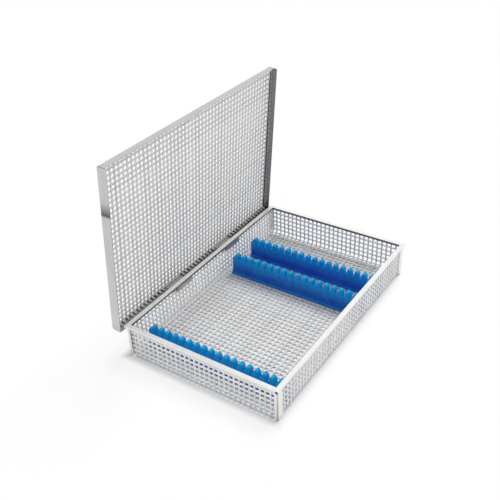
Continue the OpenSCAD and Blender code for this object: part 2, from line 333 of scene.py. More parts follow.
def mitred(profile, half_length, half_width, side, along_x):
    """A profile of (depth in from the outer edge, height), carried along one side of a frame. Both ends
    lie at half_length - depth, so neighbouring sides meet at 45 degrees."""
    depth, height = profile[:, 0], profile[:, 1]
    off = side * (half_width - depth)
    rings = []
    for end in (-1, 1):
        run = end * (half_length - depth)
        rings.append(np.stack([run, off, height] if along_x else [off, run, height], -1))
    return skin(np.array(rings))


def add_piece(name, shape, material, body, replaced=None, sharp=35):
    """Makes an object of a shape, with its faces turned outward, and lets it ride on a body. replaced is
    the CAD node that it takes the place of, and sharp the angle in degrees from which an edge is sharp."""
    points, faces = shape
    mesh = bpy.data.meshes.new(name)
    corners = np.concatenate([f.ravel() for f in faces])
    totals = np.concatenate([np.full(len(f), f.shape[1]) for f in faces])
    mesh.vertices.add(len(points))
    mesh.vertices.foreach_set("co", points.astype(np.float32).ravel())
    mesh.loops.add(len(corners))
    mesh.loops.foreach_set("vertex_index", corners.astype(np.int32))
    mesh.polygons.add(len(totals))
    mesh.polygons.foreach_set("loop_start", (np.cumsum(totals) - totals).astype(np.int32))
    mesh.update(calc_edges=True)
    mesh.validate()
    shell = bmesh.new()
    shell.from_mesh(mesh)
    bmesh.ops.recalc_face_normals(shell, faces=shell.faces)
    shell.to_mesh(mesh)
    shell.free()
    mesh.shade_smooth()
    mesh.set_sharp_from_angle(angle=math.radians(sharp))
    mesh.materials.append(material)
    piece = bpy.data.objects.new(name, mesh)
    bpy.context.scene.collection.objects.link(piece)
    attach(piece, body)
    if replaced:
        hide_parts(replaced)
    return piece


def add_values(piece, name, values):
    """Keeps one number for each point of a piece, for its material to read."""
    attribute = piece.data.attributes.new(name, "FLOAT", "POINT")
    attribute.data.foreach_set("value", np.asarray(values, np.float32).ravel())


def dress(node, material):
    """Gives a CAD node a material."""
    piece = frame["nodes"][node]
    piece.data.materials.clear()
    piece.data.materials.append(material)


class Net:
    """Collects families of wires of one panel and makes a piece of them."""

    def __init__(self, settings, seed):
        self.pitch = settings.pitch
        self.radius = settings.wire / 2
        self.sides = settings.sides
        self.lift = settings.lift
        self.random = np.random.default_rng(seed)
        self.parts = []
        self.tones = []
        self.steps = []

    def add(self, along, base, normals, layer):
        """Adds wires with the middle lines base and the normals of the panel, shaped (wires, points, 3).
        Layer 1 lies on the side that the normals point to, and layer -1 on the other side. It is one
        value or one for each point along a wire."""
        paths = base + normals * (np.broadcast_to(layer, len(along))[None, :, None] * self.lift)
        self.parts.append(tubes(paths, normals, self.radius, self.sides))
        shape = (*paths.shape[:2], self.sides)
        tone = self.random.random(len(paths))
        self.tones.append(np.broadcast_to(tone[:, None, None], shape).ravel())
        self.steps.append(np.broadcast_to((along / self.pitch)[None, :, None], shape).ravel())

    def make(self, name, material, body, replaced, place=None):
        """Makes the piece, with its points moved by place if that is given."""
        points, faces = join(self.parts)
        if place:
            points = place(points)
        piece = add_piece(name, (points, faces), material, body, replaced, sharp=60)
        add_values(piece, "tone", np.concatenate(self.tones))
        add_values(piece, "step", np.concatenate(self.steps))


def folded(s, half, radius):
    """The profile of a sheet folded up at both sides, by the length s from its middle. It is flat to
    half - radius, then a quarter circle, then upright. Returns across, height and the outward normal."""
    flat = half - radius
    angle = np.clip((np.abs(s) - flat) / radius, 0, np.pi / 2)
    rise = np.clip(np.abs(s) - flat - radius * np.pi / 2, 0, None)
    across = np.sign(s) * (np.minimum(np.abs(s), flat) + radius * np.sin(angle))
    height = radius * (1 - np.cos(angle)) + rise
    return across, height, np.sign(s) * np.sin(angle), -np.cos(angle)


class FoldedTray:
    """The tray's mesh as a sheet that is folded up at its front and back or at its left and right."""

    def __init__(self, settings, faces_y):
        self.faces_y = faces_y
        self.radius = settings.fold
        self.level = settings.wire / 2 + settings.lift
        body, cross_body = (BODY_Y, BODY_X) if faces_y else (BODY_X, BODY_Y)
        self.half = body - self.level
        self.cross_half = cross_body - self.level
        self.flat = self.half - self.radius
        self.arc = self.radius * math.pi / 2
        self.places = self.wire_places(self.half, settings.pitch)
        self.cross_places = self.wire_places(self.cross_half, settings.pitch)

    def wire_places(self, half, pitch):
        """Even places of wires across the folds. The first and the last lie in the middle of a fold."""
        reach = half - self.radius + self.radius * math.pi / 4
        cells = round(2 * reach / pitch)
        return np.arange(cells + 1) * (2 * reach / cells) - reach

    def lines(self, s, t):
        """Points and outward normals at lengths s across the folds and places t along them."""
        shape = np.broadcast(s, t).shape
        values = (*folded(s, self.half, self.radius), t)
        across, height, out, down, t = (np.broadcast_to(v, shape) for v in values)
        zero = np.zeros(shape)
        if self.faces_y:
            return np.stack([t, across, height + self.level], -1), np.stack([zero, out, down], -1)
        return np.stack([across, t, height + self.level], -1), np.stack([out, zero, down], -1)


def make_tray_floor(settings, material):
    """The floor's welded mesh. The wires along X lie on top. They cross to the outside at the folds, so
    that all upright wires lie outside. A wire runs along the middle of each fold."""
    net = Net(settings, seed=1)
    for faces_y in (True, False):
        sheet = FoldedTray(settings, faces_y)
        bend = np.linspace(0, sheet.arc, 7)
        along = np.concatenate([-(sheet.flat + bend[::-1]), sheet.flat + bend])
        crossing = np.clip(np.abs(along) - sheet.flat, 0, sheet.arc) / sheet.arc * 2 - 1
        base, normals = sheet.lines(along[None, :], sheet.cross_places[1:-1, None])
        net.add(along, base, normals, 1.0 if faces_y else crossing)
        across = np.array([-1, 1]) * (sheet.cross_half - sheet.radius)
        base, normals = sheet.lines(sheet.places[[0, -1], None], across[None, :])
        net.add(across, base, normals, -1.0 if faces_y else 0.0)
    net.make("tray_floor_wires", material, TRAY, "tray_floor_mesh")


def make_tray_wall(settings, material, name, faces_y, side):
    """One wall's welded mesh, on top of the folded edge: upright wires outside and level wires inside, up
    to the rim."""
    sheet = FoldedTray(settings, faces_y)
    net = Net(settings, seed=10 + 4 * faces_y + 8 * (side > 0))
    start = sheet.flat + sheet.arc
    end = start + WALL_TOP - sheet.level - sheet.radius
    along = np.array([start, end])
    base, normals = sheet.lines(side * along[None, :], sheet.cross_places[1:-1, None])
    net.add(along, base, normals, 1.0)
    across = np.array([-1, 1]) * (sheet.cross_half - settings.wire)
    fold_wire, spacing = sheet.places[-1], sheet.places[1] - sheet.places[0]
    count = int((end - settings.wire - fold_wire) / spacing)
    rows = fold_wire + np.arange(1, count + 1) * spacing
    base, normals = sheet.lines(side * rows[:, None], across[None, :])
    net.add(across, base, normals, -1.0)
    net.make("tray_wall_wires_" + name, material, TRAY, "tray_wall_mesh_" + name)


def wire_numbers(low, high, pitch):
    """Numbers i of the wires at i * pitch between two ends."""
    return np.arange(math.ceil(low / pitch), math.floor(high / pitch) + 1)


def make_lid_mesh(settings, material, hem):
    """The lid's welded mesh, with the wires along Y inside and the wires along X outside. At the back the
    wires along Y bend down by a quarter circle and run on for the hem, but not over the hinge leaves. One
    more wire along X lies on the bend."""
    net_low, net_high = closed_box("lid_mesh")
    level = (net_low[2] + net_high[2]) / 2
    low_y = net_low[1]
    high_y = LID_Y - SKIRT_SHEET - settings.wire / 2
    half_x = net_high[0]
    radius = settings.wire
    start = high_y - radius
    net = Net(settings, seed=40)

    angle = np.linspace(0, np.pi / 2, 6)
    y = np.concatenate([[low_y], start + radius * np.sin(angle), [high_y]])
    z = np.concatenate([[level], level - radius * (1 - np.cos(angle)), [level - hem]])
    turn = np.concatenate([[0], angle, [np.pi / 2]])
    along = np.concatenate([[low_y], start + radius * angle, [start + radius * np.pi / 2 + hem - radius]])
    places = wire_numbers(-half_x, half_x, settings.pitch) * settings.pitch
    over_leaf = np.abs(np.abs(places) - LEAF_MIDDLE) < LEAF_HALF + settings.wire
    lines = np.stack([0 * y, y, z], -1)
    upward = np.stack([0 * y, np.sin(turn), np.cos(turn)], -1)
    for chosen, count in ((places[~over_leaf], len(y)), (places[over_leaf], 2)):
        path = chosen[:, None, None] * [1.0, 0.0, 0.0] + lines[:count]
        net.add(along[:count], path, np.broadcast_to(upward[:count], path.shape), -1.0)

    rows = wire_numbers(low_y, start, settings.pitch) * settings.pitch
    rows = np.append(rows, start + radius / 2)
    run = np.broadcast_to([-half_x, half_x], (len(rows), 2))
    path = np.stack([run, np.broadcast_to(rows[:, None], run.shape), np.full(run.shape, level)], -1)
    net.add(run[0], path, np.broadcast_to([0.0, 0.0, 1.0], path.shape), 1.0)
    net.make("lid_wires", material, LID, "lid_mesh", opened)


def make_rim(settings, material):
    """The rim: a folded strip with round edges, a leg that reaches down outside the mesh and a lip inside
    it. Its inner face and its underside carry painted shade."""
    outer_leg = RIM_X - BODY_X
    inner_leg = outer_leg - settings.rim_sheet
    lip = RIM_WIDTH - settings.rim_sheet
    leg_low = WALL_TOP - settings.rim_leg
    lip_low = WALL_TOP - settings.rim_lip
    # Depth, height and share of the rim's rounding at each corner
    corners = np.array([
        [0, RIM_TOP, 0.8], [RIM_WIDTH, RIM_TOP, 0.6], [RIM_WIDTH, lip_low, 0.2], [lip, lip_low, 0.2],
        [lip, WALL_TOP, 0.1], [outer_leg, WALL_TOP, 0.1], [outer_leg, leg_low, 0.3],
        [inner_leg, leg_low, 0.3], [inner_leg, WALL_TOP, 0.3], [0, WALL_TOP, 0.8]])
    profile = rounded(corners[:, :2], corners[:, 2] * settings.rim_round)
    depth, height = profile[:, 0], profile[:, 1]
    # Painted shade: the inner face, which reflects the dark inside of the tray, and the underside above the
    # leg, where the overhang casts its shadow
    inside = (depth > lip) & (height < RIM_TOP - settings.rim_round / 2)
    above_leg = (height > leg_low + settings.rim_sheet) & (height < WALL_TOP + settings.rim_round / 3)
    dark = inside | (above_leg & (depth < outer_leg))
    for name, along_x, side in SIDES:
        half_length, half_width = (RIM_X, RIM_Y) if along_x else (RIM_Y, RIM_X)
        shape = mitred(profile, half_length, half_width, side, along_x)
        piece = add_piece("tray_rim_strip_" + name, shape, material, TRAY, "tray_rim_" + name)
        add_values(piece, "shade", np.tile(dark, 2))


def make_weld(settings, material):
    """The weld bead on the rim's near corner: rings at r * sin(a), height -r * cos(a), pressed flat along X
    so that it clears the closed lid."""
    radius = settings.weld_radius
    flat = settings.weld_height / radius
    centre = np.array([-RIM_X, radius - RIM_Y, RIM_TOP - radius])
    pole_gap, ring_count, ring_points = 6, 13, 20
    angle = np.radians(np.linspace(pole_gap, 180 - pole_gap, ring_count))[:, None]
    turn = np.linspace(0, 2 * np.pi, ring_points, endpoint=False)[None, :]
    out = flat * np.sin(angle) * np.cos(turn)
    points = centre + radius * np.stack(
        [out, np.sin(angle) * np.sin(turn), np.broadcast_to(-np.cos(angle), out.shape)], -1)
    add_piece("rim_corner_weld", skin(points), material, TRAY, sharp=80)


def make_corner_strip(settings, material, name_x, side_x, name_y, side_y):
    """A corner strip: an angle profile with a round back, carried upright. Each leg ends in a curve at the
    bottom, where its free edge rises by (1 - height)^2 to follow the folded mesh. A dark line of painted
    shade runs up the middle of the round back."""
    node = f"corner_strip_{name_y}_{name_x}"
    low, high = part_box(node)
    long_leg, short_leg = high.x - low.x, high.y - low.y
    sheet = (high.x - BODY_X) if side_x > 0 else (-BODY_X - low.x)
    bend = 3 * sheet
    edge = settings.edge_round
    steps = 6
    outline = rounded(
        [[0, 0], [long_leg, 0], [long_leg, sheet], [sheet, sheet], [sheet, short_leg], [0, short_leg]],
        [bend, edge, edge, bend - sheet, edge, edge], steps)
    outer_x = side_x * (BODY_X + sheet)
    outer_y = side_y * (BODY_Y + sheet)
    reach = np.maximum(outline[:, 0] / long_leg, outline[:, 1] / short_leg)
    foot_top = 6 * MM
    heights = np.array([0.0, 0.2 * MM, 0.8 * MM, 2.5 * MM, foot_top, high.z])
    lifts = np.clip(1 - heights / foot_top, 0, None) ** 2 * settings.strip_foot
    rings = np.stack(np.broadcast_arrays(
        outer_x - side_x * outline[:, 0], outer_y - side_y * outline[:, 1],
        heights[:, None] + lifts[:, None] * reach ** 2), -1)
    piece = add_piece(
        f"corner_angle_{name_y}_{name_x}", skin(rings), material, TRAY, node)
    # Painted shade: a dark line up the middle of the round back, fainter at the top
    line_width, top_shade = 1.3, 0.4
    line = np.zeros(len(outline))
    line[:steps + 1] = np.exp(-((np.arange(steps + 1) - steps / 2) / line_width) ** 2)
    fade = np.where(heights < high.z, 1.0, top_shade)
    add_values(piece, "shade", fade[:, None] * line)


def make_side_plate(settings, material, name, side):
    """A side plate of the lid's skirt: flat, with its back corner rounded like the folded back strip. The
    inner face of the right one carries a painted dark reflection."""
    foot_round = 1 * MM
    outline = rounded(
        [[-LID_Y, SKIRT_EDGE], [LID_Y, SKIRT_EDGE], [LID_Y, LID_TOP], [-LID_Y, LID_TOP]],
        [foot_round, foot_round, settings.lid_fold, settings.lid_round], steps=8)
    flat, faces = plate(outline, SKIRT_SHEET, settings.edge_round)
    points = np.stack([side * (LID_X - flat[:, 2]), flat[:, 0], flat[:, 1]], -1)
    piece = add_piece("lid_side_plate_" + name, (opened(points), faces), material, LID,
                      "lid_skirt_" + name)
    # Painted reflection: the right plate's inner face is darkened
    inner_shade = 0.6
    inside = (flat[:, 2] > SKIRT_SHEET / 2) & (side > 0)
    add_values(piece, "shade", inside * inner_shade)


def make_front_strip(settings, material):
    """The front strip of the lid's skirt, with a dark seam at each end."""
    edge = settings.edge_round
    front_y = -LID_Y
    inner_y = front_y + SKIRT_SHEET
    low_z = closed_box("lid_skirt_front")[0][2]
    outline = rounded(
        [[front_y, low_z], [inner_y, low_z], [inner_y, LID_TOP], [front_y, LID_TOP]],
        [edge, edge, edge, settings.lid_round])
    inner_x = LID_X - SKIRT_SHEET
    points, faces = prism(outline, [-inner_x, settings.seam - inner_x, inner_x - settings.seam, inner_x])
    piece = add_piece("lid_front_strip", (opened(points), faces), material, LID,
                      "lid_skirt_front")
    add_values(piece, "shade", np.repeat([1.0, 0.0, 0.0, 1.0], len(outline)))


def make_back_strip(settings, material):
    """The back strip: upright outside the hinges and folded over by a quarter circle to the mesh, with its
    lower edge raised over each hinge. Below the hem its inside carries painted shade, for the dark gap
    over the tray's rim, and more so to the right."""
    corners = turn_lid(node_points("lid_skirt_back"), LID_ANGLE)
    notch = corners[np.abs(np.abs(corners[:, 0]) - LEAF_MIDDLE) < 1.5 * LEAF_HALF]
    notch_z = notch[notch[:, 2] < LID_TOP - SKIRT_SHEET][:, 2].max()
    near, far = np.abs(notch[:, 0]).min(), np.abs(notch[:, 0]).max()
    inner_x = LID_X - SKIRT_SHEET
    inner_y = LID_Y - SKIRT_SHEET
    fold = settings.lid_fold
    angle = np.linspace(0, math.pi / 2, 8)
    circle = np.stack([np.cos(angle), np.sin(angle)], -1)
    centre = np.array([LID_Y - fold, LID_TOP - fold])
    hem_z = LID_TOP - settings.lid_hem
    stops = [-inner_x, -far, -far, -near, -near, near, near, far, far, inner_x]
    edges = np.where(np.arange(len(stops)) % 4 < 2, SKIRT_EDGE, notch_z)
    rings = []
    for x, edge_z in zip(stops, edges):
        outline = np.concatenate([
            [[inner_y, edge_z], [LID_Y, edge_z]],
            centre + fold * circle,
            centre + (fold - SKIRT_SHEET) * circle[::-1],
            [[inner_y, hem_z], [inner_y, hem_z - SKIRT_SHEET]]])
        rings.append(np.column_stack([np.full(len(outline), x), outline]))
    points, faces = skin(np.array(rings))
    piece = add_piece("lid_back_strip", (opened(points), faces), material, LID,
                      "lid_skirt_back")
    # Painted shade: the inside below the hem is darkened, less so to the left
    dark = (points[:, 1] < LID_Y - SKIRT_SHEET / 2) & (points[:, 2] < hem_z - SKIRT_SHEET / 2)
    left_shade = 0.3
    share = np.clip((points[:, 0] + inner_x) / (2 * inner_x), 0, 1)
    add_values(piece, "shade", dark * (left_shade + (1 - left_shade) * share))


def make_catch_tab(settings, material):
    """The catch tab: a plate with round lower corners and a small slot, which is an ellipse."""
    low, high = closed_box("lid_catch_tab")
    middle_x = (low[0] + high[0]) / 2
    half = (high[0] - low[0]) / 2
    drop = high[2] - low[2]
    lap = 1.5 * MM
    upper_round, lower_round = 0.2 * MM, 0.45 * drop
    outline = rounded(
        [[-half, lap], [-half, -drop], [half, -drop], [half, lap]],
        [upper_round, lower_round, lower_round, upper_round], steps=6)
    turn = np.linspace(0, 2 * np.pi, 16, endpoint=False)
    slot_half_x, slot_half_z, slot_z = 2 * MM, 0.45 * MM, -0.55 * drop
    slot = np.stack([slot_half_x * np.cos(turn), slot_z + slot_half_z * np.sin(turn)], -1)
    flat, faces = plate(outline, high[1] - low[1], settings.edge_round, [slot])
    points = np.stack([middle_x + flat[:, 0], low[1] + flat[:, 2], high[2] + flat[:, 1]], -1)
    add_piece("catch_tab_plate", (opened(points), faces), material, LID, "lid_catch_tab")


def comb_height(y, first, settings, top):
    """Height of a rack at places y. Between notch and tip it is a straight flank, the notch's bottom and
    the tip are circles, and outside the first and the last tooth it falls to the shoulder."""
    pitch = settings.tooth_pitch
    notch, tip = settings.notch_radius, settings.tip_radius
    low = top - settings.notch_depth + notch
    high = top - tip
    number = np.clip(np.round((y - first) / pitch), 0, settings.teeth - 1)
    off = np.abs(y - first - number * pitch)
    to_notch = pitch / 2 - off
    flank = high - (off - tip) / (pitch / 2 - notch - tip) * (high - low)
    on_tip = high + np.sqrt(np.clip(tip ** 2 - off ** 2, 0, None))
    in_notch = low - np.sqrt(np.clip(notch ** 2 - to_notch ** 2, 0, None))
    height = np.where(off <= tip, on_tip, np.where(to_notch >= notch, flank, in_notch))
    outside = (y < first) | (y > first + (settings.teeth - 1) * pitch)
    return np.where(outside, np.maximum(height, top - settings.shoulder_drop), height)


def rack_places(length, first, settings):
    """Places along a rack, close together on the circles of tips and notches. The front of the first
    tooth has only the places of its flank. At each end of the slot two places lie a hair apart."""
    pitch = settings.tooth_pitch
    off_notch = np.array([0.4, 0.8, 1.1, 1.3, 1.5, 1.9, 2.2, 2.5, 2.9, 3.3, 4.0]) * MM
    cell = np.concatenate([[-pitch / 2], -off_notch[::-1], [0], off_notch])
    notches = first + (np.arange(settings.teeth - 1) + 0.5) * pitch
    off_tip = np.array([0, 0.4, 0.9, 1.4, 1.8]) * MM
    off_flank = np.array([2.1, 2.3, 2.7, 3.3]) * MM
    off_end = np.array([0, 0.1, 0.4, 0.8, 1.2]) * MM
    outer = np.concatenate([off_end, first - off_flank])
    y = np.concatenate([outer, length - outer, length - first + off_tip, (notches[:, None] + cell).ravel()])
    y = np.unique(np.round(np.clip(y, 0, length), 7))
    hair = 1e-6
    slot_end = settings.slot_inset + np.array([0, hair])
    return np.sort(np.concatenate([y, slot_end, length - slot_end]))


def rack_profile(height, tuck, ridge, slot, foot, top, settings):
    """The outline of a rack at each place: slot, foot, faces and a quarter circle at the top. The ridges
    on the faces grow upward by 3 s^2 - 2 s^3. The left half mirrors the right one."""
    flat = np.ones(len(height))
    slot_half = settings.slot_width / 2
    foot_top = settings.foot_height
    fillet = settings.foot_round
    soft = settings.top_round
    ridge_start, ridge_span = 0.28, 0.35

    def width(z):
        """Half thickness at heights z."""
        share = np.clip((z / top - ridge_start) / ridge_span, 0, 1)
        return settings.face / 2 + settings.flute * ridge * share * share * (3 - 2 * share) - tuck

    path = [(0 * flat, slot), (slot_half * flat, slot), (slot_half * flat, 0 * flat)]
    near = 0.2 * MM
    for inset, z in ((fillet, 0), (near, near), (0, fillet),
                     (0, foot_top - fillet), (near, foot_top - near), (fillet, foot_top)):
        path.append((foot - inset - tuck, z * flat))
    hollow, hollow_near = 0.6 * MM, 0.18 * MM
    for spread, rise in ((hollow, 0), (hollow_near, hollow_near), (0, fillet)):
        z = (foot_top + rise) * flat
        path.append((width(z) + spread, z))
    face_low = foot_top + fillet
    lowest_row, rows = 0.08, 12
    for share in np.linspace(lowest_row, 1, rows):
        z = face_low + share * (height - soft - face_low)
        path.append((width(z), z))
    for angle in np.radians([22, 45, 68, 90]):
        z = height - soft + soft * np.sin(angle)
        path.append((width(z) - soft + soft * np.cos(angle), z))
    path.append((0 * flat, height))
    right = np.array(path).transpose(0, 2, 1)
    left = right[1:-1][::-1] * [-1, 1]
    return np.concatenate([right, left]).transpose(1, 0, 2)


def make_rack(place, settings, material):
    """A silicone rack: at each place along it a profile whose top follows the comb. Shallow upright
    grooves run down from the notches. The ends are tucked in by a quarter circle, at the top by twice
    as much."""
    node = "instrument_rack_" + place
    low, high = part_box(node)
    foot = (high.x - low.x) / 2
    top = high.z - low.z
    length = high.y - low.y
    first = (length - (settings.teeth - 1) * settings.tooth_pitch) / 2
    y = rack_places(length, first, settings)
    off_end = np.minimum(y, length - y)
    end_round = settings.end_round
    short = np.clip(end_round - off_end, 0, None)
    tuck = end_round - np.sqrt(np.clip(end_round ** 2 - short ** 2, 0, None))
    height = comb_height(y, first, settings, top) - 2 * tuck
    ridge = np.cos(2 * np.pi * (y - first) / settings.tooth_pitch)
    slot = np.where(off_end > settings.slot_inset, settings.slot_height, 0.0)
    profile = rack_profile(height, tuck, ridge, slot, foot, top, settings)
    rings = np.stack([
        (low.x + high.x) / 2 + profile[..., 0],
        np.broadcast_to((low.y + y)[:, None], profile.shape[:2]),
        low.z + profile[..., 1]], -1)
    piece = add_piece("silicone_rack_" + place, skin(rings), material, TRAY, node, sharp=50)
    add_values(piece, "rise", profile[..., 1] / top)
    add_values(piece, "ridge", np.broadcast_to(ridge[:, None], profile.shape[:2]))


def add_node(tree, kind, inputs=None, **settings):
    """Adds a node. inputs gives a value or a socket for each named or numbered input."""
    node = tree.nodes.new(kind)
    for key, value in settings.items():
        setattr(node, key, value)
    for key, value in (inputs or {}).items():
        if isinstance(value, bpy.types.NodeSocket):
            tree.links.new(value, node.inputs[key])
        else:
            node.inputs[key].default_value = value
    return node


def math_node(tree, operation, a, b=0.0):
    """The result of one sum on two values or sockets."""
    return add_node(tree, "ShaderNodeMath", {0: a, 1: b}, operation=operation).outputs[0]


def mix_colour(tree, factor, a, b):
    """A mix of two colours."""
    return add_node(tree, "ShaderNodeMix", {0: factor, 6: a, 7: b}, data_type="RGBA").outputs[2]


def value_range(tree, value, low, high, out_low, out_high):
    """A value carried from the range low to high to the range out_low to out_high, and held there."""
    return add_node(tree, "ShaderNodeMapRange", {
        "Value": value, "From Min": low, "From Max": high, "To Min": out_low, "To Max": out_high}).outputs[0]


def object_place(tree):
    """The place on the piece, in Object coordinates."""
    return add_node(tree, "ShaderNodeTexCoord").outputs["Object"]


def kept_value(tree, name):
    """The number that the piece keeps at each point under a name."""
    return add_node(tree, "ShaderNodeAttribute", attribute_name=name).outputs["Fac"]


def scaled_colour(colour, share):
    """A colour made darker or lighter, with alpha 1."""
    return (*(min(1.0, c * share) for c in colour), 1.0)


def new_group(name, inputs, outputs):
    """An empty shader node group with named sockets; returns it with its input and output node."""
    group = bpy.data.node_groups.new(name, "ShaderNodeTree")
    for socket, kind, value in inputs:
        made = group.interface.new_socket(name=socket, in_out="INPUT", socket_type=kind)
        if value is not None:
            made.default_value = value
    for socket in outputs:
        group.interface.new_socket(name=socket, in_out="OUTPUT", socket_type="NodeSocketFloat")
    return group, group.nodes.new("NodeGroupInput"), group.nodes.new("NodeGroupOutput")


def grain_group():
    """Fine lines along one direction, as grinding leaves them, and soft clouds. Stretch is high across
    the lines."""
    group, given, out = new_group(
        "Ground grain",
        [("Vector", "NodeSocketVector", None), ("Stretch", "NodeSocketVector", (30.0, 900.0, 900.0))],
        ["Lines", "Clouds"])
    place = given.outputs["Vector"]
    scaled = add_node(group, "ShaderNodeVectorMath", {0: place, 1: given.outputs["Stretch"]},
                      operation="MULTIPLY").outputs[0]
    fine = add_node(group, "ShaderNodeTexNoise",
                    {"Vector": scaled, "Scale": 1.0, "Detail": 4.0, "Roughness": 0.65})
    clouds = add_node(group, "ShaderNodeTexNoise",
                      {"Vector": place, "Scale": 45.0, "Detail": 3.0, "Roughness": 0.5})
    group.links.new(fine.outputs["Fac"], out.inputs["Lines"])
    group.links.new(clouds.outputs["Fac"], out.inputs["Clouds"])
    return group


def speckle_group():
    """Small round specks over a soft cloud, for dust, water marks and casting pits. Limit is the size of
    a speck as a share of its cell."""
    group, given, out = new_group(
        "Specks",
        [("Vector", "NodeSocketVector", None), ("Scale", "NodeSocketFloat", 600.0),
         ("Limit", "NodeSocketFloat", 0.22)],
        ["Specks", "Clouds"])
    place = given.outputs["Vector"]
    cells = add_node(group, "ShaderNodeTexVoronoi", {"Vector": place, "Scale": given.outputs["Scale"]})
    near = math_node(group, "LESS_THAN", cells.outputs["Distance"], given.outputs["Limit"])
    clouds = add_node(group, "ShaderNodeTexNoise",
                      {"Vector": place, "Scale": 70.0, "Detail": 5.0, "Roughness": 0.6}).outputs["Fac"]
    group.links.new(math_node(group, "MULTIPLY", near, clouds), out.inputs["Specks"])
    group.links.new(clouds, out.inputs["Clouds"])
    return group


def place_group(tree, group, **inputs):
    """Places a node group in a material, in Object coordinates; returns its outputs."""
    values = {"Vector": object_place(tree), **inputs}
    return add_node(tree, "ShaderNodeGroup", values, node_tree=group).outputs


def new_material(name):
    """A material with one Principled shader; returns it, its tree and the shader."""
    material = bpy.data.materials.new(name)
    material.use_nodes = True
    tree = material.node_tree
    return material, tree, tree.nodes["Principled BSDF"]


def finish_surface(tree, shader, colour, clouds, roughness, height, depth):
    """Links the colour, a roughness that follows the clouds and a fine bump to the shader."""
    cloud_low, cloud_high, bump_distance = 0.3, 0.75, 0.1 * MM
    rough = value_range(tree, clouds, cloud_low, cloud_high, *roughness)
    tree.links.new(colour, shader.inputs["Base Color"])
    tree.links.new(rough, shader.inputs["Roughness"])
    bump = add_node(tree, "ShaderNodeBump", {"Strength": depth, "Distance": bump_distance, "Height": height})
    tree.links.new(bump.outputs[0], shader.inputs["Normal"])


def wire_steel(name, colour, grain):
    """Drawn wire: each wire in its own tone, with a faint painted shade at each crossing, at whole steps."""
    material, tree, shader = new_material(name)
    across_all = (700.0, 700.0, 700.0)
    marks = place_group(tree, grain, Stretch=across_all)
    toned = mix_colour(tree, kept_value(tree, "tone"), scaled_colour(colour, 0.9), scaled_colour(colour, 1.1))
    # Painted shade: the colour darkens near each crossing of the wires, where they meet
    crossing_core, crossing_edge, crossing_shade = 0.12, 0.3, 0.45
    from_crossing = math_node(tree, "PINGPONG", kept_value(tree, "step"), 0.5)
    weld = value_range(tree, from_crossing, crossing_core, crossing_edge, crossing_shade, 0.0)
    welded = mix_colour(tree, weld, toned, scaled_colour(colour, 0.7))
    fine = value_range(tree, marks["Lines"], 0.4, 0.7, 0.0, 0.18)
    final = mix_colour(tree, fine, welded, scaled_colour(colour, 0.72))
    finish_surface(tree, shader, final, marks["Clouds"], (0.38, 0.5), marks["Lines"], 0.12)
    shader.inputs["Metallic"].default_value = 0.55
    return material


def sheet_steel(name, colour, grain, specks, stretch, roughness, line_depth, metal=1.0, mark=None):
    """Sheet steel with ground lines, cloudy polish, a few water marks, and dark seams and painted shade where
    "shade" is 1. roughness gives its lowest and its highest value, and mark the height of a soft dark band
    of painted reflection, if there is one."""
    material, tree, shader = new_material(name)
    lines = place_group(tree, grain, Stretch=stretch)
    marks = place_group(tree, specks, Scale=420.0, Limit=0.16)
    # Largest share of the darker colour in clouds, specks, and seams with painted shade
    cloud_share, speck_share, seam_and_shade_share = 0.35, 0.25, 0.88
    ground = value_range(tree, lines["Lines"], 0.3, 0.75, 0.0, 1.0)
    base = mix_colour(tree, ground, scaled_colour(colour, 1.04), scaled_colour(colour, 0.9))
    cloud = value_range(tree, lines["Clouds"], 0.35, 0.7, 0.0, cloud_share)
    clouded = mix_colour(tree, cloud, base, scaled_colour(colour, 0.86))
    speck = math_node(tree, "MULTIPLY", marks["Specks"], speck_share)
    spotted = mix_colour(tree, speck, clouded, scaled_colour(colour, 0.7))
    # Dark seams, and painted shade and reflection, where the pieces keep "shade"
    shade = math_node(tree, "MULTIPLY", kept_value(tree, "shade"), seam_and_shade_share)
    final = mix_colour(tree, shade, spotted, scaled_colour(colour, 0.1))
    # Painted reflection: a soft dark band at one height, standing for something dark mirrored in the polished
    # steel
    if mark:
        fade_up, fade_down, strength = 14 * MM, 3 * MM, 0.92
        height = add_node(tree, "ShaderNodeSeparateXYZ", {0: object_place(tree)}).outputs["Z"]
        above = value_range(tree, height, mark, mark + fade_up, strength, 0.0)
        below = value_range(tree, height, mark - fade_down, mark, 0.0, 1.0)
        both = math_node(tree, "MULTIPLY", above, below)
        final = mix_colour(tree, both, final, scaled_colour(colour, 0.12))
    finish_surface(tree, shader, final, lines["Clouds"], roughness, lines["Lines"], line_depth)
    shader.inputs["Metallic"].default_value = metal
    return material


